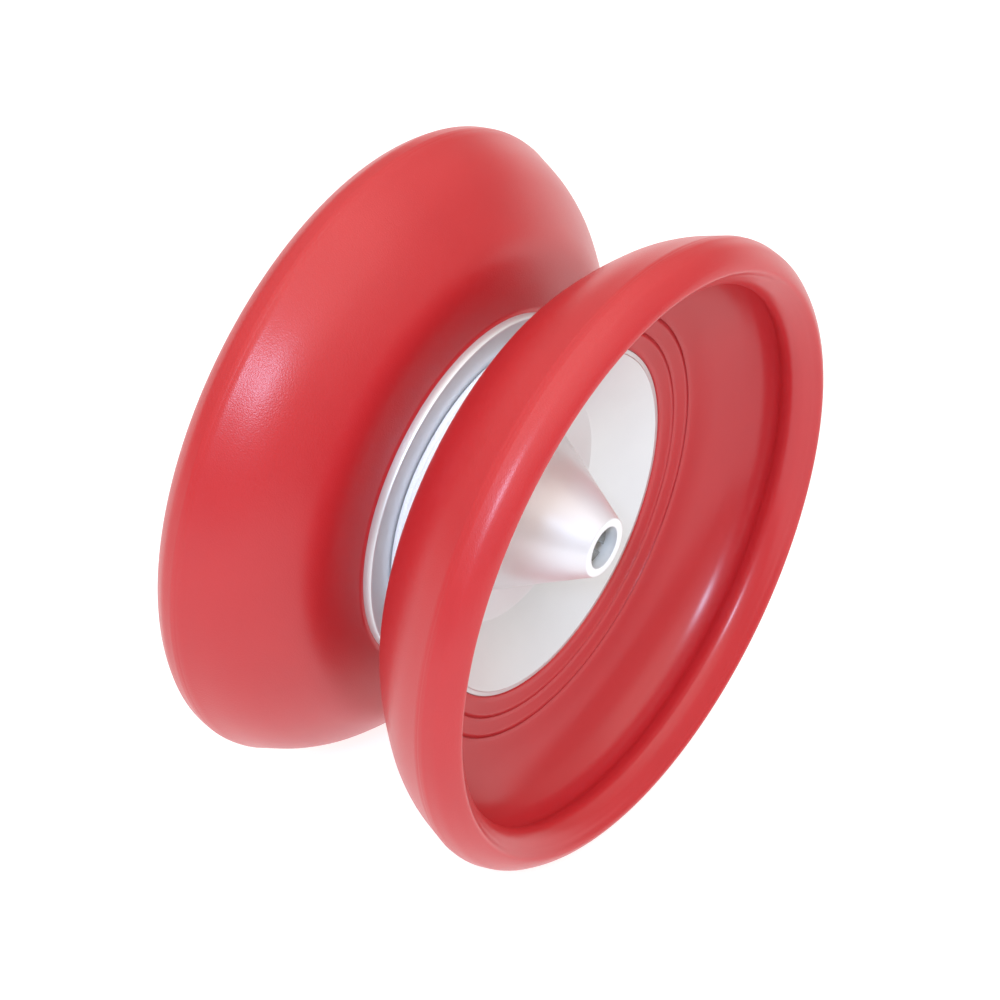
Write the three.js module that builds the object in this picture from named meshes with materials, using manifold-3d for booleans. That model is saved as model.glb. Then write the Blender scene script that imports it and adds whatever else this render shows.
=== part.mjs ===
// A take-apart butterfly yo-yo: two flared soft rims with metal hubs, screwed together on a threaded
// axle that carries a ball bearing with the string wound on it.
// Millimetres, +Z up. The origin is the middle of the axle, and the Y axis is the spin axis: the front
// half lies towards -Y and the back half towards +Y. The toy stands on the widest ring of both rims.

import * as THREE from 'three';
import * as BufferGeometryUtils from 'three/addons/utils/BufferGeometryUtils.js';
import Module from 'manifold-3d';

// Driving dimensions. An axial size is a distance from the mid-plane of the string gap.
const RIM_RADIUS = 37.5;
const RIM_REST_BAND = [16.0, 16.9];
const LIP_CREST = [20.2, 35.2];
const HUB_RADIUS = 20.9;
const SEAT_CLEARANCE = 0.05;

const GAP_FACE = 2.07;
const HUB_EDGE_ROUND = 0.3;
const FLANK_START = 3.3;
const GROOVE_START = 3.2;
const GROOVE_RADIUS = 17.2;
const CUP_FACE = 7.38;
const DISH_EDGE_STEP = 0.12;
const DISH_EDGE_WIDTH = 0.5;
const DISH_FLOOR = 3.2;
const DISH_FLOOR_RADIUS = 13.6;
const DISH_WALL = 1.15;
const BOSS_RADIUS = 7.0;
const BOSS_END = 4.3;

const CONE_BASE_RADIUS = 9.7;
const CONE_TIP = 14.4;
const CONE_TIP_RADIUS = 3.5;
const CONE_COUNTERBORE_END = 5.2;

const AXLE_RADIUS = 2.42;
const AXLE_HALF_LENGTH = 13.0;
const AXLE_CHAMFER = 0.3;
const AXLE_BORE_RADIUS = 2.5;
const SLOT_WIDTH = 0.9;
const SLOT_DEPTH = 1.2;
const SLOT_TURN_DEG = 52;

const BEARING_BORE_RADIUS = 3.175;
const BEARING_RADIUS = 6.35;
const BEARING_HALF_WIDTH = 2.38;
const BALL_COUNT = 8;
const BALL_RADIUS = 0.79;
const BALL_PITCH_RADIUS = 4.76;
const BALL_CLEARANCE = 0.02;
const RACE_SHOULDER_HEIGHT = 0.36;
const CAGE_HALF_WIDTH = 1.25;
const CAGE_HALF_THICKNESS = 0.22;
const CAGE_POCKET_CLEARANCE = 0.06;
const SHIELD_FACES = [1.72, 1.92];
const SHIELD_RADII = [4.5, 5.85];
const SHIELD_SEAT = [1.68, 5.92];
const SNAP_RING_FACES = [1.96, 2.2];
const SNAP_RING_RADII = [5.3, 5.86];
const SNAP_RING_OPENING = 0.5;

const SPACER_SEAT_RADIUS = 3.15;
const SPACER_START = 0.1;
const SPACER_BORE_RADIUS = 2.55;
const SPACER_FLANGE_RADIUS = 4.2;
const SPACER_FLANGE_END = 3.1;
const SPACER_TAIL_RADIUS = 3.8;
const SPACER_TAIL_END = 4.9;

const BEARING_RECESS_RADIUS = 6.7;
const BEARING_RECESS_FLOOR = 2.7;
const PAD_RADII = [8.2, 11.2];
const PAD_FLOOR = 2.7;

const STRING_WINDING_RADIUS = 17.8;
const STRING_WINDING_HALF_WIDTH = 1.6;
const STRING_WINDING_CORNER = 0.75;
const KNOT_RADII = [1.4, 1.1, 1.0];
const KNOT_LIFT = 0.15;
const KNOT_TURN_DEG = 60;

const LARGE_SEGMENTS = 40;
const SMALL_SEGMENTS = 32;
const BACK = 1;
const FRONT = -1;

const wasm = await Module();
wasm.setup();

// Materials.
const softRed = new THREE.MeshStandardMaterial({ color: 0xd4433f, roughness: 0.5, metalness: 0 });
const satinAluminium = new THREE.MeshStandardMaterial({ color: 0xdfdcdc, roughness: 0.35, metalness: 1 });
const blastedAluminium = new THREE.MeshStandardMaterial({ color: 0xd6d2d4, roughness: 0.45, metalness: 1 });
const steel = new THREE.MeshStandardMaterial({ color: 0xb9b6b0, roughness: 0.25, metalness: 1 });
const brass = new THREE.MeshStandardMaterial({ color: 0xc9a860, roughness: 0.35, metalness: 1 });
const silicone = new THREE.MeshStandardMaterial({ color: 0xf1efe6, roughness: 0.7, metalness: 0 });
const cageNylon = new THREE.MeshStandardMaterial({ color: 0xd9cfae, roughness: 0.6, metalness: 0 });
const cotton = new THREE.MeshStandardMaterial({ color: 0xeceef2, roughness: 0.9, metalness: 0 });

const yoyo = new THREE.Group();

function addPiece(name, geometry, material) {
  const piece = new THREE.Mesh(geometry, material);
  piece.name = name;
  yoyo.add(piece);
  return piece;
}

// Turns a closed outline of [axial distance, radius] corners about the Y axis, on one side of the
// mid-plane. The flats of the facets lie at the true radius, and one flat faces straight down.
function turned(outline, side = BACK, segments = LARGE_SEGMENTS) {
  const toVertex = 1 / Math.cos(Math.PI / segments);
  const points = outline.map(([axial, radius]) => new THREE.Vector2(radius * toVertex, side * axial));
  if (THREE.ShapeUtils.area(points) < 0) {
    points.reverse();
  }
  if (points.every((point) => point.x > 0)) {
    points.push(points[0].clone());
  }
  return new THREE.LatheGeometry(points, segments, Math.PI / segments);
}

// Points of a smooth curve through [axial distance, radius] stations.
function smooth(stations, steps) {
  const points = stations.map(([axial, radius]) => new THREE.Vector3(axial, radius, 0));
  const curve = new THREE.CatmullRomCurve3(points, false, 'centripetal');
  return curve.getPoints(steps).map((point) => [point.x, point.y]);
}

// Points of an arc of the outline, from one angle to another, in degrees.
function arc([axial, radius], size, fromDeg, toDeg, steps) {
  const corners = [];
  for (let step = 0; step <= steps; step += 1) {
    const angle = THREE.MathUtils.degToRad(fromDeg + ((toDeg - fromDeg) * step) / steps);
    corners.push([axial + size * Math.cos(angle), radius + size * Math.sin(angle)]);
  }
  return corners;
}

function toManifold(geometry) {
  const bare = geometry.clone();
  bare.deleteAttribute('normal');
  bare.deleteAttribute('uv');
  const merged = BufferGeometryUtils.mergeVertices(bare, 1e-4);
  const vertProperties = new Float32Array(merged.attributes.position.array);
  const triVerts = new Uint32Array(merged.index.array);
  return new wasm.Manifold(new wasm.Mesh({ numProp: 3, vertProperties, triVerts }));
}

function toGeometry(manifold) {
  const mesh = manifold.getMesh();
  const geometry = new THREE.BufferGeometry();
  geometry.setAttribute('position', new THREE.BufferAttribute(mesh.vertProperties, 3));
  geometry.setIndex(new THREE.BufferAttribute(mesh.triVerts, 1));
  geometry.computeVertexNormals();
  return geometry;
}

// The dished side of the hub as a straight line: its axial distance at a radius.
const DISH_MOUTH_RADIUS = HUB_RADIUS - DISH_EDGE_WIDTH - DISH_EDGE_STEP;
const DISH_SLOPE = (CUP_FACE - DISH_FLOOR) / (DISH_MOUTH_RADIUS - DISH_FLOOR_RADIUS);
const dishAt = (radius) => DISH_FLOOR + DISH_SLOPE * (radius - DISH_FLOOR_RADIUS);

// The soft rim: a domed flank from the hub out to the widest ring, a rolled lip, and inside it a cup
// whose wall draws back a little behind the lip and runs down into a flat floor round the hub. A
// wedge-shaped bead on its bore snaps into the groove of the hub.
function rimGeometry(side) {
  const hubSeat = HUB_RADIUS + SEAT_CLEARANCE;
  const beadBore = GROOVE_RADIUS + SEAT_CLEARANCE;
  const flank = smooth([
    [FLANK_START, hubSeat], [3.75, 24.8], [4.46, 27.9], [5.83, 30.1],
    [9.62, 34.0], [12.4, 35.9], [RIM_REST_BAND[0], RIM_RADIUS],
  ], 8);
  const lip = smooth([
    [RIM_REST_BAND[1], RIM_RADIUS], [18.5, 37.0], LIP_CREST, [19.5, 34.0],
    [18.4, 32.95], [17.3, 32.45], [16.3, 32.7], [15.4, 33.4],
  ], 8);
  const cup = smooth([
    [15.4, 33.4], [13.9, 33.15], [12.0, 31.8], [9.9, 29.3], [8.3, 25.0], [CUP_FACE, hubSeat],
  ], 5);
  return turned([
    ...flank,
    ...lip,
    ...cup.slice(1),
    [dishAt(hubSeat) - DISH_WALL - SEAT_CLEARANCE, hubSeat],
    [dishAt(beadBore) - DISH_WALL - SEAT_CLEARANCE, beadBore],
    [GROOVE_START + SEAT_CLEARANCE, beadBore],
    [GROOVE_START + SEAT_CLEARANCE, hubSeat],
  ], side);
}

// The metal hub. Its flat side faces the string, with recesses for the bearing and for the friction
// ring. Its other side is a dish with a fine step round the edge, a flat floor, and a boss that
// centres the cone. A groove round the outside holds the rim.
function hubGeometry(side) {
  const spacerBore = SPACER_TAIL_RADIUS + SEAT_CLEARANCE;
  const flangeSeat = SPACER_FLANGE_END + SEAT_CLEARANCE;
  const flangeRecess = SPACER_FLANGE_RADIUS + 2 * SEAT_CLEARANCE;
  const edgeCentre = [GAP_FACE + HUB_EDGE_ROUND, HUB_RADIUS - HUB_EDGE_ROUND];
  return turned([
    [GAP_FACE, BEARING_RECESS_RADIUS],
    [GAP_FACE, PAD_RADII[0]],
    [PAD_FLOOR, PAD_RADII[0]],
    [PAD_FLOOR, PAD_RADII[1]],
    [GAP_FACE, PAD_RADII[1]],
    ...arc(edgeCentre, HUB_EDGE_ROUND, 180, 90, 2),
    [GROOVE_START, HUB_RADIUS],
    [GROOVE_START, GROOVE_RADIUS],
    [dishAt(GROOVE_RADIUS) - DISH_WALL, GROOVE_RADIUS],
    [dishAt(HUB_RADIUS) - DISH_WALL, HUB_RADIUS],
    [CUP_FACE - DISH_EDGE_STEP, HUB_RADIUS],
    [CUP_FACE - DISH_EDGE_STEP, HUB_RADIUS - DISH_EDGE_WIDTH],
    [CUP_FACE, DISH_MOUTH_RADIUS],
    [DISH_FLOOR, DISH_FLOOR_RADIUS],
    [DISH_FLOOR, BOSS_RADIUS],
    [BOSS_END, BOSS_RADIUS],
    [BOSS_END, spacerBore],
    [flangeSeat, spacerBore],
    [flangeSeat, flangeRecess],
    [BEARING_RECESS_FLOOR, flangeRecess],
    [BEARING_RECESS_FLOOR, BEARING_RECESS_RADIUS],
  ], side);
}

// The conical nut that sits over the boss on the floor of the dish, and takes the axle.
function coneNutGeometry(side) {
  const footStart = DISH_FLOOR + SEAT_CLEARANCE;
  const bossSeat = BOSS_RADIUS + 2 * SEAT_CLEARANCE;
  const spacerBore = SPACER_TAIL_RADIUS + SEAT_CLEARANCE;
  return turned([
    [footStart, bossSeat],
    [footStart, CONE_BASE_RADIUS],
    [CONE_TIP, CONE_TIP_RADIUS],
    [CONE_TIP, AXLE_BORE_RADIUS],
    [CONE_COUNTERBORE_END, AXLE_BORE_RADIUS],
    [CONE_COUNTERBORE_END, spacerBore],
    [BOSS_END + SEAT_CLEARANCE, spacerBore],
    [BOSS_END + SEAT_CLEARANCE, bossSeat],
  ], side, SMALL_SEGMENTS);
}

// The soft ring that grips the string when the halves are jerked together.
function frictionRingGeometry(side) {
  const inner = PAD_RADII[0] + 2 * SEAT_CLEARANCE;
  const outer = PAD_RADII[1] - 2 * SEAT_CLEARANCE;
  return turned([
    [GAP_FACE + SEAT_CLEARANCE, inner],
    [GAP_FACE + SEAT_CLEARANCE, outer],
    [PAD_FLOOR - SEAT_CLEARANCE, outer],
    [PAD_FLOOR - SEAT_CLEARANCE, inner],
  ], side);
}

// The flanged bush on the axle that the bearing's inner race sits on.
function spacerGeometry(side) {
  const flangeStart = BEARING_HALF_WIDTH + SEAT_CLEARANCE;
  return turned([
    [SPACER_START, SPACER_BORE_RADIUS],
    [SPACER_START, SPACER_SEAT_RADIUS],
    [flangeStart, SPACER_SEAT_RADIUS],
    [flangeStart, SPACER_FLANGE_RADIUS],
    [SPACER_FLANGE_END, SPACER_FLANGE_RADIUS],
    [SPACER_FLANGE_END, SPACER_TAIL_RADIUS],
    [SPACER_TAIL_END, SPACER_TAIL_RADIUS],
    [SPACER_TAIL_END, SPACER_BORE_RADIUS],
  ], side, SMALL_SEGMENTS);
}

// The axle is a long grub screw with a screwdriver slot in each end.
function axleGeometry() {
  let axle = toManifold(turned([
    [-AXLE_HALF_LENGTH, 0],
    [-AXLE_HALF_LENGTH, AXLE_RADIUS - AXLE_CHAMFER],
    [-AXLE_HALF_LENGTH + AXLE_CHAMFER, AXLE_RADIUS],
    [AXLE_HALF_LENGTH - AXLE_CHAMFER, AXLE_RADIUS],
    [AXLE_HALF_LENGTH, AXLE_RADIUS - AXLE_CHAMFER],
    [AXLE_HALF_LENGTH, 0],
  ], BACK, SMALL_SEGMENTS));
  for (const side of [BACK, FRONT]) {
    const slot = new THREE.BoxGeometry(3 * AXLE_RADIUS, 2 * SLOT_DEPTH, SLOT_WIDTH);
    slot.rotateY(THREE.MathUtils.degToRad(SLOT_TURN_DEG));
    slot.translate(0, side * AXLE_HALF_LENGTH, 0);
    axle = axle.subtract(toManifold(slot));
  }
  return toGeometry(axle);
}

// The round groove that the balls run in, on the outside of the inner race (facing +1) or on the
// inside of the outer race (facing -1).
function ballGroove(facing) {
  const size = BALL_RADIUS + BALL_CLEARANCE;
  const openingDeg = THREE.MathUtils.radToDeg(Math.acos(RACE_SHOULDER_HEIGHT / size));
  return arc([0, BALL_PITCH_RADIUS], size, -facing * (90 + openingDeg), -facing * (90 - openingDeg), 6);
}

function innerRaceGeometry() {
  const shoulder = BALL_PITCH_RADIUS - RACE_SHOULDER_HEIGHT;
  return turned([
    [-BEARING_HALF_WIDTH, BEARING_BORE_RADIUS],
    [-BEARING_HALF_WIDTH, shoulder],
    ...ballGroove(1),
    [BEARING_HALF_WIDTH, shoulder],
    [BEARING_HALF_WIDTH, BEARING_BORE_RADIUS],
  ], BACK, SMALL_SEGMENTS);
}

// The outer race also has a stepped seat at each end for a shield and its snap ring.
function outerRaceGeometry() {
  const shoulder = BALL_PITCH_RADIUS + RACE_SHOULDER_HEIGHT;
  const [seatStart, seatRadius] = SHIELD_SEAT;
  return turned([
    [-BEARING_HALF_WIDTH, BEARING_RADIUS],
    [-BEARING_HALF_WIDTH, seatRadius],
    [-seatStart, seatRadius],
    [-seatStart, shoulder],
    ...ballGroove(-1),
    [seatStart, shoulder],
    [seatStart, seatRadius],
    [BEARING_HALF_WIDTH, seatRadius],
    [BEARING_HALF_WIDTH, BEARING_RADIUS],
  ], BACK, SMALL_SEGMENTS);
}

function ballGeometry(index, radius) {
  const angle = (index * 2 * Math.PI) / BALL_COUNT;
  const ball = new THREE.IcosahedronGeometry(radius, 1);
  ball.translate(BALL_PITCH_RADIUS * Math.cos(angle), 0, BALL_PITCH_RADIUS * Math.sin(angle));
  return ball;
}

// The ring that keeps the balls apart, with a pocket for each ball.
function cageGeometry() {
  let cage = toManifold(turned([
    [-CAGE_HALF_WIDTH, BALL_PITCH_RADIUS - CAGE_HALF_THICKNESS],
    [-CAGE_HALF_WIDTH, BALL_PITCH_RADIUS + CAGE_HALF_THICKNESS],
    [CAGE_HALF_WIDTH, BALL_PITCH_RADIUS + CAGE_HALF_THICKNESS],
    [CAGE_HALF_WIDTH, BALL_PITCH_RADIUS - CAGE_HALF_THICKNESS],
  ], BACK, SMALL_SEGMENTS));
  for (let index = 0; index < BALL_COUNT; index += 1) {
    cage = cage.subtract(toManifold(ballGeometry(index, BALL_RADIUS + 2 * CAGE_POCKET_CLEARANCE)));
  }
  return toGeometry(cage);
}

function shieldGeometry(side) {
  return turned([
    [SHIELD_FACES[0], SHIELD_RADII[0]],
    [SHIELD_FACES[0], SHIELD_RADII[1]],
    [SHIELD_FACES[1], SHIELD_RADII[1]],
    [SHIELD_FACES[1], SHIELD_RADII[0]],
  ], side, SMALL_SEGMENTS);
}

// The split spring ring that holds a shield in the outer race.
function snapRingGeometry(side) {
  const outline = new THREE.Shape();
  outline.absarc(0, 0, SNAP_RING_RADII[1], SNAP_RING_OPENING / 2, 2 * Math.PI - SNAP_RING_OPENING / 2);
  outline.absarc(0, 0, SNAP_RING_RADII[0], 2 * Math.PI - SNAP_RING_OPENING / 2, SNAP_RING_OPENING / 2, true);
  const depth = SNAP_RING_FACES[1] - SNAP_RING_FACES[0];
  const ring = new THREE.ExtrudeGeometry(outline, { depth, bevelEnabled: false, curveSegments: 20 });
  ring.translate(0, 0, -depth / 2);
  ring.rotateX(Math.PI / 2);
  ring.translate(0, (side * (SNAP_RING_FACES[0] + SNAP_RING_FACES[1])) / 2, 0);
  return ring;
}

// The outer shape of the wound string.
function windingGeometry() {
  const half = STRING_WINDING_HALF_WIDTH - STRING_WINDING_CORNER;
  const shoulder = STRING_WINDING_RADIUS - STRING_WINDING_CORNER;
  return turned([
    [-STRING_WINDING_HALF_WIDTH, BEARING_RADIUS + SEAT_CLEARANCE],
    ...arc([-half, shoulder], STRING_WINDING_CORNER, 180, 90, 2),
    ...arc([half, shoulder], STRING_WINDING_CORNER, 90, 0, 2),
    [STRING_WINDING_HALF_WIDTH, BEARING_RADIUS + SEAT_CLEARANCE],
  ]);
}

// The knot of the finger loop, lying on the wound string.
function knotGeometry() {
  const knot = new THREE.IcosahedronGeometry(1, 1);
  knot.scale(...KNOT_RADII);
  knot.translate(0, 0, -(STRING_WINDING_RADIUS + KNOT_RADII[2] + KNOT_LIFT));
  knot.rotateY(-THREE.MathUtils.degToRad(KNOT_TURN_DEG));
  return knot;
}

for (const [half, side] of [['front', FRONT], ['back', BACK]]) {
  addPiece(`${half}_rim`, rimGeometry(side), softRed);
  addPiece(`${half}_hub`, hubGeometry(side), satinAluminium);
  addPiece(`${half}_cone_nut`, coneNutGeometry(side), blastedAluminium);
  addPiece(`${half}_friction_ring`, frictionRingGeometry(side), silicone);
  addPiece(`${half}_spacer`, spacerGeometry(side), brass);
  addPiece(`${half}_bearing_shield`, shieldGeometry(side), steel);
  addPiece(`${half}_snap_ring`, snapRingGeometry(side), steel);
}
addPiece('axle', axleGeometry(), steel);
addPiece('inner_race', innerRaceGeometry(), steel);
addPiece('outer_race', outerRaceGeometry(), steel);
addPiece('ball_cage', cageGeometry(), cageNylon);
for (let index = 0; index < BALL_COUNT; index += 1) {
  addPiece(`ball_${index + 1}`, ballGeometry(index, BALL_RADIUS), steel);
}
addPiece('string_winding', windingGeometry(), cotton);
addPiece('string_knot', knotGeometry(), cotton);

export default yoyo;
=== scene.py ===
import math

import bmesh
import bpy
from mathutils import Matrix, Vector
from mathutils.geometry import interpolate_bezier


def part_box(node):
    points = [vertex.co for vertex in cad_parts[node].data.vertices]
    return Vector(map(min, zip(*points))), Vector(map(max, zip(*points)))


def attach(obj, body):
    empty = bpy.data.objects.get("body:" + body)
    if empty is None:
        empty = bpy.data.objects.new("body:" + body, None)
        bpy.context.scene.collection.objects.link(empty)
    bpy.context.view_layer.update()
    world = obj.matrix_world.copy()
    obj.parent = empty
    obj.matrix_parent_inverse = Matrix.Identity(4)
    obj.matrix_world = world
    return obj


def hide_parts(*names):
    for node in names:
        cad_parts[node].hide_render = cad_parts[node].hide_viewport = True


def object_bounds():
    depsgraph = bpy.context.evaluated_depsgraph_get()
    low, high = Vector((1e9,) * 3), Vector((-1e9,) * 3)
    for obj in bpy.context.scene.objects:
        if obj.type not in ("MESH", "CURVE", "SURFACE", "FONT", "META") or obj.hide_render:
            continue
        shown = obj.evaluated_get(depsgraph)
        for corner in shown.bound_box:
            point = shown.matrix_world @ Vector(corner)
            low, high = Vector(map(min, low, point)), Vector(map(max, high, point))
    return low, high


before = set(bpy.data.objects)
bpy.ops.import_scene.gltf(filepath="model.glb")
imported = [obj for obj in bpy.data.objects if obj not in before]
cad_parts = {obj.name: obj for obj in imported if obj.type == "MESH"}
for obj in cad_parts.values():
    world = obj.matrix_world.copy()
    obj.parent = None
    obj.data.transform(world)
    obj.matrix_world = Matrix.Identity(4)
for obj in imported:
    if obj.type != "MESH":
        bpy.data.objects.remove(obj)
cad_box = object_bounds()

# A butterfly yo-yo with soft red rims on turned aluminium hubs. +Z is up. The Y axis is the spin axis,
# the front half lies towards -Y and the back half towards +Y, and the middle of the string gap is the
# origin. Sizes are in millimetres and become metres as they are drawn. In an outline, a size along
# the axis is a distance from the middle of the gap.

MM = 0.001
SPIN_AXIS = Vector((0, 1, 0))
FRONT, BACK = -1, 1
HALVES = (("front", FRONT), ("back", BACK))

scene = bpy.context.scene


# ---------------------------------------------------------------- camera, light and floor

CAMERA_AZIMUTH = math.radians(-54.6)
CAMERA_ELEVATION = math.radians(41.5)
CAMERA_DISTANCE = 585.3 * MM
CAMERA_LENS = 189.64
CAMERA_SIDESTEP = (0.22 * MM, -0.26 * MM)
CAMERA_SENSOR_WIDTH = 36
CAMERA_CLIP = (0.01, 20)

# The floor and the lamps are sized and placed in metres. A place is an azimuth and an elevation in
# degrees, seen from the toy.
FLOOR_HALF_WIDTH = 6
TENT_STRENGTH = (0.27, 1.45)
TENT_TINT = (1.0, 0.93, 0.85, 1)
KEY_PLACE = (-63, 46)
KEY_DISTANCE = 0.9
KEY_SIZE = 0.12
KEY_POWER = 4.1
KEY_TINT = (0.52, 0.73, 1.0)
TOP_PLACE = (-10, 75)
TOP_DISTANCE = 1.1
TOP_SIZE = 1.5
TOP_POWER = 4.2
TOP_TINT = (1.0, 0.95, 0.88)


def direction(azimuth, elevation):
    """The unit vector from the toy to something seen at that azimuth and elevation."""
    flat = math.cos(elevation)
    return Vector((math.sin(azimuth) * flat, -math.cos(azimuth) * flat, math.sin(elevation)))


def make_camera():
    """A long lens that looks down on the front half from its left."""
    back = direction(CAMERA_AZIMUTH, CAMERA_ELEVATION)
    right = Vector((0, 0, 1)).cross(back).normalized()
    up = back.cross(right)
    camera = bpy.data.objects.new("camera", bpy.data.cameras.new("camera"))
    camera.data.lens = CAMERA_LENS
    camera.data.sensor_width = CAMERA_SENSOR_WIDTH
    camera.data.clip_start, camera.data.clip_end = CAMERA_CLIP
    camera.rotation_mode = "QUATERNION"
    camera.rotation_quaternion = Matrix((right, up, back)).transposed().to_quaternion()
    camera.location = back * CAMERA_DISTANCE + right * CAMERA_SIDESTEP[0] + up * CAMERA_SIDESTEP[1]
    scene.collection.objects.link(camera)
    scene.camera = camera


def softbox(name, azimuth, elevation, distance, size, power, tint):
    """A square area light that faces the toy."""
    light = bpy.data.lights.new(name, "AREA")
    light.shape = "SQUARE"
    light.size = size
    light.energy = power
    light.color = tint
    lamp = bpy.data.objects.new(name, light)
    towards = direction(math.radians(azimuth), math.radians(elevation))
    lamp.location = towards * distance
    lamp.rotation_mode = "QUATERNION"
    lamp.rotation_quaternion = towards.to_track_quat("Z", "Y")
    scene.collection.objects.link(lamp)


def make_studio():
    """A warm white tent, brighter overhead, with a small cool lamp near the camera's left and a wide
    warm one above the toy, on a sheet of white paper."""
    world = bpy.data.worlds.new("studio")
    world.use_nodes = True
    tree = world.node_tree
    tree.nodes.clear()
    place = add_node(tree, "ShaderNodeTexCoord").outputs["Generated"]
    height = add_node(tree, "ShaderNodeSeparateXYZ", {"Vector": place}).outputs["Z"]
    strength = add_node(tree, "ShaderNodeMapRange", {
        "Value": height, "To Min": TENT_STRENGTH[0], "To Max": TENT_STRENGTH[1],
    })
    tent = add_node(tree, "ShaderNodeBackground", {
        "Color": TENT_TINT, "Strength": strength.outputs["Result"],
    })
    output = add_node(tree, "ShaderNodeOutputWorld")
    tree.links.new(tent.outputs["Background"], output.inputs["Surface"])
    scene.world = world
    scene.view_settings.view_transform = "Standard"
    softbox("key_light", *KEY_PLACE, KEY_DISTANCE, KEY_SIZE, KEY_POWER, KEY_TINT)
    softbox("top_light", *TOP_PLACE, TOP_DISTANCE, TOP_SIZE, TOP_POWER, TOP_TINT)
    floor = bpy.data.meshes.new("floor")
    ground = bmesh.new()
    bmesh.ops.create_grid(ground, x_segments=1, y_segments=1, size=FLOOR_HALF_WIDTH)
    bmesh.ops.translate(ground, vec=(0, 0, cad_box[0].z), verts=ground.verts)
    ground.to_mesh(floor)
    ground.free()
    floor.materials.append(white_paper())
    sheet = bpy.data.objects.new("floor", floor)
    scene.collection.objects.link(sheet)


# ---------------------------------------------------------------- materials

# Real blasting pits, turning rings and spun hairs are finer than these. They are drawn as coarse as
# they have to be to show.
PIT_WIDTH_MM = 0.16
DENT_WIDTH_MM = 0.2
DENT_DEPTH_MM = 0.012
TURNING_PITCH_MM = 0.25
TURNING_DEPTH_MM = 0.003
HAIR_MM = 0.16
HAIR_DEPTH_MM = 0.08
SKIN_DEPTH_MM = 0.02
PAPER_GLOW = 0.85
GLOSS_SPREAD = (-0.05, 0.1)


def colour(hex_code):
    """An sRGB hex colour as the linear RGBA that the shaders take."""
    channels = [int(hex_code[i:i + 2], 16) / 255 for i in (1, 3, 5)]
    return (*[c / 12.92 if c <= 0.04045 else ((c + 0.055) / 1.055) ** 2.4 for c in channels], 1)


def per_metre(size_mm):
    """The scale of a noise whose blobs are about this wide."""
    return 1 / (size_mm * MM)


def add_node(tree, kind, sockets=None, **settings):
    """Adds a node, sets its properties, and fills its sockets with values or with links."""
    made = tree.nodes.new(kind)
    for name, value in settings.items():
        setattr(made, name, value)
    for name, value in (sockets or {}).items():
        if isinstance(value, bpy.types.NodeSocket):
            tree.links.new(value, made.inputs[name])
        else:
            made.inputs[name].default_value = value
    return made


def new_material(name):
    """An empty material with its output node, and its place in the toy's own coordinates."""
    material = bpy.data.materials.new(name)
    material.use_nodes = True
    tree = material.node_tree
    tree.nodes.clear()
    output = add_node(tree, "ShaderNodeOutputMaterial")
    place = add_node(tree, "ShaderNodeTexCoord").outputs["Object"]
    return material, tree, output, place


def white_paper():
    """Backlit studio paper: plain, matt and white, so that hardly any shadow shows on it."""
    material, tree, output, place = new_material("backlit_studio_paper")
    fibre = add_node(tree, "ShaderNodeTexNoise", {
        "Vector": place, "Scale": per_metre(3), "Detail": 2.0,
    })
    tone = add_node(tree, "ShaderNodeMix", {
        "Factor": fibre.outputs["Fac"], "A": colour("#A6A6A6"), "B": colour("#ABABAB"),
    }, data_type="RGBA")
    shader = add_node(tree, "ShaderNodeBsdfPrincipled", {
        "Base Color": tone.outputs["Result"], "Roughness": 0.9, "Specular IOR Level": 0.1,
        "Emission Color": colour("#FFFFFF"), "Emission Strength": PAPER_GLOW,
    })
    tree.links.new(shader.outputs["BSDF"], output.inputs["Surface"])
    return material


def moulded_elastomer(name, pit_depth_mm, roughness):
    """Red elastomer that light soaks into, moulded against a blasted or a polished tool: the first
    leaves fine dry pits, the second a smooth satin skin."""
    material, tree, output, place = new_material(name)
    cloud = add_node(tree, "ShaderNodeTexNoise", {
        "Vector": place, "Scale": per_metre(9), "Detail": 3.0,
    })
    tone = add_node(tree, "ShaderNodeMix", {
        "Factor": cloud.outputs["Fac"], "A": colour("#B7262C"), "B": colour("#BF2B30"),
    }, data_type="RGBA")
    shader = add_node(tree, "ShaderNodeBsdfPrincipled", {
        "Base Color": tone.outputs["Result"],
        "Roughness": roughness,
        "IOR": 1.5,
        "Subsurface Weight": 0.3,
        "Subsurface Radius": (1.0, 0.25, 0.2),
        "Subsurface Scale": 2 * MM,
    })
    if pit_depth_mm:
        pits = add_node(tree, "ShaderNodeTexNoise", {
            "Vector": place, "Scale": per_metre(PIT_WIDTH_MM), "Detail": 1.0,
        })
        bump = add_node(tree, "ShaderNodeBump", {
            "Height": pits.outputs["Fac"], "Distance": pit_depth_mm * MM,
        })
        tree.links.new(bump.outputs["Normal"], shader.inputs["Normal"])
    tree.links.new(shader.outputs["BSDF"], output.inputs["Surface"])
    return material


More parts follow.
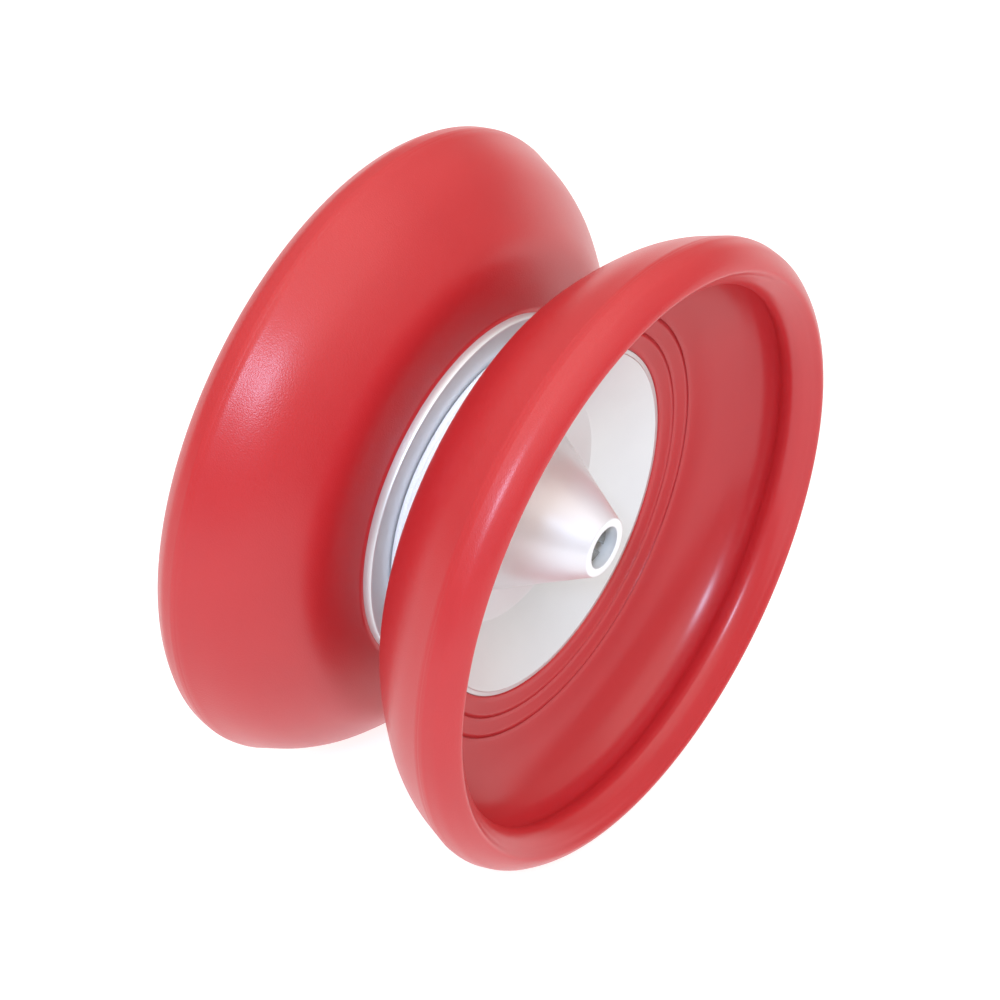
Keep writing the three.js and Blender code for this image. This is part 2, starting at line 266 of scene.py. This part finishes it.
def turned_aluminium():
    """Turned and clear-anodised aluminium: fine rings draw the light into fans round the centre, under
    a milky oxide skin."""
    material, tree, output, place = new_material("turned_anodised_aluminium")
    split = add_node(tree, "ShaderNodeSeparateXYZ", {"Vector": place})
    flat = add_node(tree, "ShaderNodeCombineXYZ", {
        "X": split.outputs["X"], "Y": split.outputs["Z"],
    })
    radius = add_node(tree, "ShaderNodeVectorMath", {0: flat.outputs["Vector"]}, operation="LENGTH")
    ring = add_node(tree, "ShaderNodeCombineXYZ", {
        "X": radius.outputs["Value"], "Y": split.outputs["Y"],
    })
    feed = add_node(tree, "ShaderNodeTexNoise", {
        "Vector": ring.outputs["Vector"], "Scale": per_metre(TURNING_PITCH_MM), "Detail": 2.0,
    })
    bump = add_node(tree, "ShaderNodeBump", {
        "Height": feed.outputs["Fac"], "Distance": TURNING_DEPTH_MM * MM, "Strength": 0.6,
    })
    cloud = add_node(tree, "ShaderNodeTexNoise", {
        "Vector": place, "Scale": per_metre(5), "Detail": 3.0,
    })
    tone = add_node(tree, "ShaderNodeMix", {
        "Factor": cloud.outputs["Fac"], "A": colour("#D7D9DC"), "B": colour("#DEE0E2"),
    }, data_type="RGBA")
    tangent = add_node(tree, "ShaderNodeTangent", direction_type="RADIAL", axis="Y")
    shader = add_node(tree, "ShaderNodeBsdfPrincipled", {
        "Base Color": tone.outputs["Result"],
        "Metallic": 0.6,
        "Roughness": 0.45,
        "Anisotropic": 0.4,
        "Tangent": tangent.outputs["Tangent"],
        "Normal": bump.outputs["Normal"],
    })
    tree.links.new(shader.outputs["BSDF"], output.inputs["Surface"])
    return material


def blasted_aluminium():
    """Bead-blasted and clear-anodised aluminium: a fine sparkle on a soft, wide highlight."""
    material, tree, output, place = new_material("bead_blasted_anodised_aluminium")
    dents = add_node(tree, "ShaderNodeTexNoise", {
        "Vector": place, "Scale": per_metre(DENT_WIDTH_MM), "Detail": 1.0,
    })
    bump = add_node(tree, "ShaderNodeBump", {
        "Height": dents.outputs["Fac"], "Distance": DENT_DEPTH_MM * MM, "Strength": 0.5,
    })
    cloud = add_node(tree, "ShaderNodeTexNoise", {
        "Vector": place, "Scale": per_metre(4), "Detail": 3.0,
    })
    tone = add_node(tree, "ShaderNodeMix", {
        "Factor": cloud.outputs["Fac"], "A": colour("#E6E7EA"), "B": colour("#ECEDF0"),
    }, data_type="RGBA")
    shader = add_node(tree, "ShaderNodeBsdfPrincipled", {
        "Base Color": tone.outputs["Result"],
        "Metallic": 0.3,
        "Roughness": 0.36,
        "Normal": bump.outputs["Normal"],
    })
    tree.links.new(shader.outputs["BSDF"], output.inputs["Surface"])
    return material


def bright_metal(name, low, high, roughness, scratch_mm):
    """A ground, plated or turned metal part: bright, with fine uneven marks in its gloss."""
    material, tree, output, place = new_material(name)
    marks = add_node(tree, "ShaderNodeTexNoise", {
        "Vector": place, "Scale": per_metre(scratch_mm), "Detail": 3.0,
    })
    tone = add_node(tree, "ShaderNodeMix", {
        "Factor": marks.outputs["Fac"], "A": colour(low), "B": colour(high),
    }, data_type="RGBA")
    gloss = add_node(tree, "ShaderNodeMapRange", {
        "Value": marks.outputs["Fac"],
        "To Min": roughness + GLOSS_SPREAD[0],
        "To Max": roughness + GLOSS_SPREAD[1],
    })
    shader = add_node(tree, "ShaderNodeBsdfPrincipled", {
        "Base Color": tone.outputs["Result"],
        "Metallic": 1.0,
        "Roughness": gloss.outputs["Result"],
    })
    tree.links.new(shader.outputs["BSDF"], output.inputs["Surface"])
    return material


def plain_moulding(name, low, high, roughness, grain_mm, soak):
    """A small moulded or cast part: nearly even in colour, with a faint skin texture."""
    material, tree, output, place = new_material(name)
    skin = add_node(tree, "ShaderNodeTexNoise", {
        "Vector": place, "Scale": per_metre(grain_mm), "Detail": 3.0,
    })
    tone = add_node(tree, "ShaderNodeMix", {
        "Factor": skin.outputs["Fac"], "A": colour(low), "B": colour(high),
    }, data_type="RGBA")
    bump = add_node(tree, "ShaderNodeBump", {
        "Height": skin.outputs["Fac"], "Distance": SKIN_DEPTH_MM * MM,
    })
    shader = add_node(tree, "ShaderNodeBsdfPrincipled", {
        "Base Color": tone.outputs["Result"],
        "Roughness": roughness,
        "Subsurface Weight": soak,
        "Subsurface Scale": 1 * MM,
        "Normal": bump.outputs["Normal"],
    })
    tree.links.new(shader.outputs["BSDF"], output.inputs["Surface"])
    return material


def twisted_polyester():
    """White spun-polyester yarn: matt, with the fine hairs of the spinning across each ply."""
    material, tree, output, place = new_material("twisted_polyester_string")
    hairs = add_node(tree, "ShaderNodeTexNoise", {
        "Vector": place, "Scale": per_metre(HAIR_MM), "Detail": 3.0,
    })
    tone = add_node(tree, "ShaderNodeMix", {
        "Factor": hairs.outputs["Fac"], "A": colour("#E6EAF2"), "B": colour("#FCFDFF"),
    }, data_type="RGBA")
    bump = add_node(tree, "ShaderNodeBump", {
        "Height": hairs.outputs["Fac"], "Distance": HAIR_DEPTH_MM * MM,
    })
    shader = add_node(tree, "ShaderNodeBsdfPrincipled", {
        "Base Color": tone.outputs["Result"],
        "Roughness": 0.85,
        "Sheen Weight": 0.3,
        "Normal": bump.outputs["Normal"],
    })
    tree.links.new(shader.outputs["BSDF"], output.inputs["Surface"])
    return material


# ---------------------------------------------------------------- shared shaping

ROUND_STEPS = 256
SMALL_STEPS = 96
STATION_STEPS = 8
MERGE_DISTANCE = 0.002 * MM
MERIDIAN_TOLERANCE = math.radians(1)
SHARP_TURN = math.radians(25)
BEVEL_SEGMENTS = 3
SHIELD_BEVEL = 0.04
HUB_BEVEL = 0.05
SPACER_BEVEL = 0.06
RACE_BEVEL = 0.08
CONE_BEVEL = 0.12
PAD_BEVEL = 0.15


def finished(name, builder, body, node, materials):
    """Turns a bmesh into a smooth-shaded piece that rides on its body and stands for a CAD node."""
    mesh = bpy.data.meshes.new(name)
    builder.to_mesh(mesh)
    builder.free()
    for material in materials:
        mesh.materials.append(material)
    mesh.shade_smooth()
    piece = bpy.data.objects.new(name, mesh)
    scene.collection.objects.link(piece)
    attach(piece, body)
    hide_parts(node)
    return piece


def smooth(stations, steps=STATION_STEPS):
    """Points of a smooth curve through [axial distance, radius] stations, in millimetres. The slope
    at each one follows its two neighbours."""
    knots = [Vector(station) for station in stations]
    curve = []
    for i, (near, far) in enumerate(zip(knots, knots[1:])):
        before = knots[max(i - 1, 0)]
        after = knots[min(i + 2, len(knots) - 1)]
        reach = (far - near).length / 3
        near_handle = near + (far - before).normalized() * reach
        far_handle = far - (after - near).normalized() * reach
        curve += interpolate_bezier(near, near_handle, far_handle, far, steps)[:-1]
    return [*curve, knots[-1]]


def add_outline(builder, points, side):
    """Draws a closed outline of [axial distance, radius] points in millimetres."""
    corners = [builder.verts.new((radius * MM, side * axial * MM, 0)) for axial, radius in points]
    return [builder.edges.new(pair) for pair in zip(corners, [*corners[1:], corners[0]])]


def spin_round(builder, edges, steps=ROUND_STEPS):
    """Turns outline edges about the spin axis into a closed wall."""
    corners = {corner for edge in edges for corner in edge.verts}
    bmesh.ops.spin(
        builder, geom=[*corners, *edges], cent=(0, 0, 0), axis=SPIN_AXIS, dvec=(0, 0, 0),
        angle=2 * math.pi, steps=steps, use_merge=True, use_duplicate=False,
    )


def close_up(builder):
    """Merges what meets, and turns every face outwards."""
    bmesh.ops.remove_doubles(builder, verts=builder.verts, dist=MERGE_DISTANCE)
    bmesh.ops.recalc_face_normals(builder, faces=builder.faces)


def is_sharp(corner):
    """True where an outline turns by more than a gentle curve does."""
    one, two = (edge.other_vert(corner).co - corner.co for edge in corner.link_edges)
    return math.pi - one.angle(two) > SHARP_TURN


def one_outline(node):
    """One meridian of a round CAD node, turned to lie over the X axis at its true radius."""
    builder = bmesh.new()
    builder.from_mesh(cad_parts[node].data)
    bmesh.ops.remove_doubles(builder, verts=builder.verts, dist=MERGE_DISTANCE)

    def turn_of(corner):
        return math.atan2(corner.co.x, corner.co.z) % (2 * math.pi)

    first = min(turn_of(corner) for corner in builder.verts)
    others = [corner for corner in builder.verts if turn_of(corner) - first > MERIDIAN_TOLERANCE]
    bmesh.ops.delete(builder, geom=others, context="VERTS")
    to_x_axis = Matrix.Rotation(math.pi / 2 - first, 4, "Y")
    bmesh.ops.transform(builder, matrix=to_x_axis, verts=builder.verts)
    flat_share = math.cos(first)
    bmesh.ops.scale(builder, vec=(flat_share, 1, flat_share), verts=builder.verts)
    return builder


def respun(node, body, material, bevel_mm, steps=ROUND_STEPS, thread=False):
    """A fine copy of a round CAD node: one outline of it is kept, its sharp corners are broken, and
    it is turned again in small steps."""
    builder = one_outline(node)
    sharp = [corner for corner in builder.verts if is_sharp(corner)]
    bmesh.ops.bevel(
        builder, geom=sharp, offset=bevel_mm * MM, offset_type="OFFSET", segments=BEVEL_SEGMENTS,
        profile=0.5, affect="VERTICES", material=-1, clamp_overlap=True,
    )
    if thread:
        thread_bore(builder)
    spin_round(builder, list(builder.edges), steps)
    close_up(builder)
    return finished(f"{node}_turned", builder, body, node, [material])


def thread_bore(builder):
    """Cuts thread rings into the longest edge of an outline that runs along the axis at the bore."""
    bores = [edge for edge in builder.edges if is_bore(edge)]
    bore = max(bores, key=lambda edge: round(edge.calc_length() / MM))
    turns = int(bore.calc_length() / (THREAD_PITCH * MM))
    cut = bmesh.ops.subdivide_edges(builder, edges=[bore], cuts=2 * turns + 1)
    corners = [item for item in cut["geom_inner"] if isinstance(item, bmesh.types.BMVert)]
    corners.sort(key=lambda corner: abs(corner.co.y))
    for corner in corners[::2]:
        corner.co.x += THREAD_DEPTH * MM


def is_bore(edge):
    """True for an outline edge that runs along the axis at the axle's bore."""
    return all(abs(corner.co.x - AXLE_BORE * MM) < THREAD_DEPTH * MM for corner in edge.verts)


# ---------------------------------------------------------------- the string

STRING_INNER_RADIUS = 7.1
STRING_LAYER = 1.48
STRING_LANE = 1.2
STRING_LAYERS = 8
STRING_POINTS_PER_TURN = 90
STRING_CROSSING = 60
STRING_TWIST_PITCH = 6.0
STRING_WANDER = 0.05
STRING_WANDER_WAVES = 5
STRING_WANDER_SHIFT = 70
PLY_RADIUS = 0.39
PLY_SPREAD = 0.38
PLY_SEGMENTS = 8
KNOT_TURN = 30
KNOT_RADIUS = 18.3
KNOT_YARN = 0.45
KNOT_POINTS = 60
KNOT_REACH = (0.85, 0.65, 0.45)


def eased(share):
    """Runs from 0 to 1 with a soft start and a soft stop."""
    share = min(max(share, 0), 1)
    return share * share * (3 - 2 * share)


def winding_path():
    """Points of the wound string, two lanes side by side in each layer. Over the last part of a turn
    the string crosses to the other lane or climbs to the next layer, and at the end it comes up to
    its knot."""
    points = []
    turns = 2 * STRING_LAYERS
    for step in range(turns * STRING_POINTS_PER_TURN + 1):
        turn, angle = divmod(step * 360 / STRING_POINTS_PER_TURN, 360)
        turn = int(turn)
        crossing = eased((angle - 360 + STRING_CROSSING) / STRING_CROSSING)
        last = turn >= turns - 1
        climbing = turn % 2 == 1
        lane_now = -1 if turn % 4 in (0, 3) else 1
        if last:
            lane = lane_now * (1 - crossing)
        elif climbing:
            lane = lane_now
        else:
            lane = lane_now * (1 - 2 * crossing)
        layer = turn // 2 + (crossing if climbing and not last else 0)
        radius = STRING_INNER_RADIUS + STRING_LAYER * layer
        if last:
            radius += (KNOT_RADIUS - radius) * crossing
        if turn >= turns:
            lane, radius = 0, KNOT_RADIUS
        wave = angle * STRING_WANDER_WAVES + turn * STRING_WANDER_SHIFT
        radius += STRING_WANDER * math.sin(math.radians(wave))
        phi = math.radians(KNOT_TURN + angle)
        place = Vector((radius * math.cos(phi), lane * STRING_LANE, -radius * math.sin(phi)))
        points.append(place * MM)
    return points


def ply_section():
    """The outline of two twisted plies side by side, as a closed curve for a bevel."""
    section = bpy.data.curves.new("two_plies", "CURVE")
    outline = section.splines.new("POLY")
    opening = math.acos(PLY_SPREAD / PLY_RADIUS)
    corners = []
    for ply_side in (1, -1):
        for step in range(PLY_SEGMENTS):
            turn = (step + 0.5) / PLY_SEGMENTS - 0.5
            angle = turn * 2 * (math.pi - opening)
            across = PLY_SPREAD + PLY_RADIUS * math.cos(angle)
            corners.append((ply_side * across, ply_side * PLY_RADIUS * math.sin(angle)))
    outline.points.add(len(corners) - 1)
    for point, (across, along) in zip(outline.points, corners):
        point.co = (across, along, 0, 1)
    outline.use_cyclic_u = True
    return bpy.data.objects.new("two_plies", section)


def yarn_mesh(name, path, thickness):
    """A mesh of twisted string along a path. The thickness is a share of the string's own."""
    section = ply_section()
    curve = bpy.data.curves.new(name, "CURVE")
    curve.dimensions = "3D"
    curve.bevel_mode = "OBJECT"
    curve.bevel_object = section
    curve.use_fill_caps = True
    curve.twist_mode = "MINIMUM"
    spline = curve.splines.new("POLY")
    spline.points.add(len(path) - 1)
    travelled = 0
    for i, (point, place) in enumerate(zip(spline.points, path)):
        travelled += (place - path[max(i - 1, 0)]).length / MM
        point.co = (*place, 1)
        point.tilt = 2 * math.pi * travelled / (STRING_TWIST_PITCH * thickness)
        point.radius = thickness * MM
    holder = bpy.data.objects.new(name, curve)
    scene.collection.objects.link(holder)
    scene.collection.objects.link(section)
    swept = holder.evaluated_get(bpy.context.evaluated_depsgraph_get())
    mesh = bpy.data.meshes.new_from_object(swept)
    bpy.data.objects.remove(holder)
    bpy.data.objects.remove(section)
    builder = bmesh.new()
    builder.from_mesh(mesh)
    bpy.data.meshes.remove(mesh)
    close_up(builder)
    return builder


def knot_path():
    """A small overhand knot, centred on the CAD knot."""
    low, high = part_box("string_knot")
    centre = (low + high) / 2
    outwards = Vector((centre.x, 0, centre.z)).normalized()
    along = outwards.cross(SPIN_AXIS)
    points = []
    for step in range(KNOT_POINTS + 1):
        turn = 2 * math.pi * step / KNOT_POINTS
        first = (math.sin(turn) + 2 * math.sin(2 * turn)) / 3 * KNOT_REACH[0]
        second = (math.cos(turn) - 2 * math.cos(2 * turn)) / 3 * KNOT_REACH[1]
        height = -math.sin(3 * turn) * KNOT_REACH[2]
        points.append(centre + (along * first + SPIN_AXIS * second + outwards * height) * MM)
    return points


def make_string():
    """The string in all its turns, with the knot of its finger loop at the outer end."""
    yarn = twisted_polyester()
    path = winding_path()
    coil = yarn_mesh("string_coil", path, thickness=1.0)
    winding = finished("string_coil", coil, "string_spool", "string_winding", [yarn])
    loops = yarn_mesh("string_loop_knot", knot_path(), thickness=KNOT_YARN)
    knot = finished("string_loop_knot", loops, "string_spool", "string_knot", [yarn])


make_camera()
make_string()


# ---------------------------------------------------------------- the rims

FLANK = [
    (3.3, 20.95), (3.75, 24.8), (4.46, 27.9), (5.83, 30.1), (9.62, 34.0), (12.4, 35.9), (16.0, 37.44),
]
CREASE = [(16.1, 37.43), (16.2, 37.46)]
LIP = [(16.35, 37.5), (16.9, 37.5), (18.5, 37.0), (20.2, 35.2), (19.58, 34.12)]
INSIDE = [
    (19.45, 33.93), (18.6, 33.0), (17.5, 32.45), (16.4, 32.75), (15.4, 33.4), (14.4, 33.5),
    (13.0, 33.05), (11.2, 31.7), (9.4, 29.0), (8.15, 25.0), (7.45, 21.1),
]
HUB_SEAT = [(7.34, 20.95), (6.6, 20.95), (4.28, 17.25), (3.25, 17.25), (3.25, 20.95)]
ENGRAVED_RADII = (25.6, 23.4)
ENGRAVED_WIDTH = 0.18
ENGRAVED_DEPTH = 0.04
ENGRAVED_SECTION = ((0.5, 0), (0.2, 1), (-0.2, 1), (-0.5, 0))
INWARD_TILT = 0.02
BLASTED, POLISHED = 0, 1


def engraved(curve):
    """Cuts a fine round groove into an inside curve at each engraved radius. A point of its section
    is a share of its width and of its depth."""
    cut = [curve[0]]
    for near, far in zip(curve, curve[1:]):
        for radius in ENGRAVED_RADII:
            if near.y >= radius > far.y:
                middle = near.lerp(far, (near.y - radius) / (near.y - far.y))
                for across, deep in ENGRAVED_SECTION:
                    cut.append(middle + Vector((-deep * ENGRAVED_DEPTH, across * ENGRAVED_WIDTH)))
        cut.append(far)
    return cut


def faces_inwards(face):
    """True for a face of the cup or of the lip's inner side, which looks towards the spin axis."""
    centre = face.calc_center_median()
    outwards = Vector((centre.x, 0, centre.z)).normalized()
    return face.normal.dot(outwards) < -INWARD_TILT


def make_rim(half, side, finishes):
    """A soft rim: a blasted flank and lip, and a polished cup with two fine round lines in it."""
    outline = [*smooth(FLANK), *CREASE, *smooth(LIP), *engraved(smooth(INSIDE)), *HUB_SEAT]
    builder = bmesh.new()
    spin_round(builder, add_outline(builder, outline, side))
    close_up(builder)
    for face in builder.faces:
        face.material_index = POLISHED if faces_inwards(face) else BLASTED
    finished(f"{half}_rim_moulding", builder, f"{half}_half", f"{half}_rim", finishes)


# ---------------------------------------------------------------- the axle and the bearing

AXLE_HALF_LENGTH = 13.0
AXLE_CREST = 2.42
AXLE_ROOT = 2.05
AXLE_BORE = 2.5
THREAD_PITCH = 0.8
THREAD_DEPTH = 0.25
THREAD_STEPS = 48
THREAD_TOOTH = [
    (0, AXLE_ROOT), (0.1, AXLE_ROOT), (0.35, AXLE_CREST), (0.45, AXLE_CREST), (0.7, AXLE_ROOT),
    (THREAD_PITCH, AXLE_ROOT),
]
SLOT_WIDTH = 0.9
SLOT_DEPTH = 1.2
SLOT_TURN = math.radians(52)
BALL_COUNT = 8
BALL_SUBDIVISIONS = 4
SNAP_RING_RADII = (5.3, 5.86)
SNAP_RING_OPENING = 0.5
SNAP_RING_BEVEL = 0.05


def make_axle(material):
    """A long grub screw. One turn of thread is swept up a helix and copied along the axis, the ends
    are cut off and closed, and each end gets a slot."""
    turns = math.ceil(AXLE_HALF_LENGTH / THREAD_PITCH) + 1
    builder = bmesh.new()
    corners = [builder.verts.new((radius * MM, axial * MM, 0)) for axial, radius in THREAD_TOOTH]
    edges = [builder.edges.new(pair) for pair in zip(corners, corners[1:])]
    bmesh.ops.spin(
        builder, geom=[*corners, *edges], cent=(0, 0, 0), axis=SPIN_AXIS,
        dvec=SPIN_AXIS * (THREAD_PITCH * MM / THREAD_STEPS), angle=2 * math.pi, steps=THREAD_STEPS,
        use_merge=False, use_duplicate=False,
    )
    one_turn = [*builder.verts, *builder.edges, *builder.faces]
    for turn in range(-turns, turns + 1):
        if turn != 0:
            copied = bmesh.ops.duplicate(builder, geom=one_turn)["geom"]
            corners = [item for item in copied if isinstance(item, bmesh.types.BMVert)]
            bmesh.ops.translate(builder, vec=SPIN_AXIS * turn * THREAD_PITCH * MM, verts=corners)
    bmesh.ops.remove_doubles(builder, verts=builder.verts, dist=MERGE_DISTANCE)
    for end in (FRONT, BACK):
        place = end * AXLE_HALF_LENGTH * MM
        everything = [*builder.verts, *builder.edges, *builder.faces]
        bmesh.ops.bisect_plane(
            builder, geom=everything, plane_co=(0, place, 0), plane_no=SPIN_AXIS * end, clear_outer=True,
        )
        rim = [edge for edge in builder.edges if edge.is_boundary and lies_at(edge, place)]
        bmesh.ops.contextual_create(builder, geom=rim)
    bmesh.ops.recalc_face_normals(builder, faces=builder.faces)
    axle = finished("threaded_axle", builder, "back_half", "axle", [material])
    cut_slots(axle)


def lies_at(edge, place):
    """True for an edge that lies square to the axis, at that place along it."""
    return all(abs(corner.co.y - place) < MERGE_DISTANCE for corner in edge.verts)


def cut_slots(axle):
    """Cuts a screwdriver slot into each end of the axle."""
    for end in (FRONT, BACK):
        blade = bmesh.new()
        bmesh.ops.create_cube(blade, size=1)
        size = Vector((3 * AXLE_CREST, 2 * SLOT_DEPTH, SLOT_WIDTH)) * MM
        bmesh.ops.scale(blade, vec=size, verts=blade.verts)
        bmesh.ops.transform(blade, matrix=Matrix.Rotation(SLOT_TURN, 4, "Y"), verts=blade.verts)
        bmesh.ops.translate(blade, vec=SPIN_AXIS * end * AXLE_HALF_LENGTH * MM, verts=blade.verts)
        cutter_mesh = bpy.data.meshes.new("slot_cutter")
        blade.to_mesh(cutter_mesh)
        blade.free()
        cutter = bpy.data.objects.new("slot_cutter", cutter_mesh)
        scene.collection.objects.link(cutter)
        cut = axle.modifiers.new("slot", "BOOLEAN")
        cut.operation = "DIFFERENCE"
        cut.solver = "EXACT"
        cut.object = cutter
        slotted = axle.evaluated_get(bpy.context.evaluated_depsgraph_get())
        shaped = bpy.data.meshes.new_from_object(slotted)
        axle.modifiers.clear()
        axle.data = shaped
        bpy.data.objects.remove(cutter)


def make_ball(index, material):
    """A ground ball in its place in the cage."""
    node = f"ball_{index}"
    low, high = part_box(node)
    builder = bmesh.new()
    radius = (high.y - low.y) / 2
    bmesh.ops.create_icosphere(builder, subdivisions=BALL_SUBDIVISIONS, radius=radius)
    bmesh.ops.translate(builder, vec=(low + high) / 2, verts=builder.verts)
    finished(f"{node}_ground", builder, "ball_set", node, [material])


def make_snap_ring(half, material):
    """A split ring of square spring wire with softened corners, in the mouth of the outer race."""
    node = f"{half}_snap_ring"
    low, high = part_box(node)
    middle = (low.y + high.y) / 2
    builder = bmesh.new()
    bmesh.ops.create_grid(builder, x_segments=1, y_segments=1, size=0.5)
    width = SNAP_RING_RADII[1] - SNAP_RING_RADII[0]
    bmesh.ops.scale(builder, vec=(width * MM, high.y - low.y, 1), verts=builder.verts)
    bmesh.ops.bevel(
        builder, geom=list(builder.verts), offset=SNAP_RING_BEVEL * MM, offset_type="OFFSET",
        segments=BEVEL_SEGMENTS, profile=0.5, affect="VERTICES", material=-1,
    )
    mid_radius = sum(SNAP_RING_RADII) / 2 * MM
    bmesh.ops.translate(builder, vec=(mid_radius, middle, 0), verts=builder.verts)
    turn_to_end = Matrix.Rotation(-SNAP_RING_OPENING / 2, 4, "Y")
    bmesh.ops.transform(builder, matrix=turn_to_end, verts=builder.verts)
    bmesh.ops.spin(
        builder, geom=[*builder.verts, *builder.edges, *builder.faces], cent=(0, 0, 0),
        axis=-SPIN_AXIS, dvec=(0, 0, 0), angle=-(2 * math.pi - SNAP_RING_OPENING), steps=SMALL_STEPS,
        use_merge=False, use_duplicate=False,
    )
    close_up(builder)
    finished(f"{half}_snap_wire", builder, "string_spool", node, [material])


# ---------------------------------------------------------------- assembly

rim_finishes = [
    moulded_elastomer("blasted_red_elastomer", pit_depth_mm=0.02, roughness=0.33),
    moulded_elastomer("polished_red_elastomer", pit_depth_mm=0, roughness=0.3),
]
turned_metal = turned_aluminium()
blasted_metal = blasted_aluminium()
bearing_steel = bright_metal(
    "ground_bearing_steel", "#B4B4B8", "#CDCDD0", roughness=0.18, scratch_mm=0.4)
brass = bright_metal(
    "turned_brass", "#B9953F", "#D3B15C", roughness=0.28, scratch_mm=0.4)
axle_steel = bright_metal(
    "nickel_plated_steel", "#B5AFA6", "#CFC9C0", roughness=0.2, scratch_mm=0.4)
silicone = plain_moulding(
    "cast_silicone", "#E6E3D8", "#EFEDE4", roughness=0.6, grain_mm=1.2, soak=0.3)
cage_nylon = plain_moulding(
    "moulded_nylon", "#D2C8A6", "#DDD4B6", roughness=0.5, grain_mm=0.6, soak=0.1)

for half, side in HALVES:
    body = f"{half}_half"
    spacer_body = "loose_spacer" if side == FRONT else body
    make_rim(half, side, rim_finishes)
    respun(f"{half}_hub", body, turned_metal, HUB_BEVEL)
    respun(f"{half}_cone_nut", body, blasted_metal, CONE_BEVEL, thread=True)
    respun(f"{half}_friction_ring", body, silicone, PAD_BEVEL)
    respun(f"{half}_spacer", spacer_body, brass, SPACER_BEVEL, SMALL_STEPS)
    respun(
        f"{half}_bearing_shield", "string_spool", bearing_steel, SHIELD_BEVEL, SMALL_STEPS)
    make_snap_ring(half, bearing_steel)
respun("inner_race", "back_half", bearing_steel, RACE_BEVEL, SMALL_STEPS)
respun("outer_race", "string_spool", bearing_steel, RACE_BEVEL, SMALL_STEPS)
make_axle(axle_steel)
for index in range(1, BALL_COUNT + 1):
    make_ball(index, bearing_steel)
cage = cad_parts["ball_cage"].data
cage.materials.clear()
cage.materials.append(cage_nylon)

make_studio()
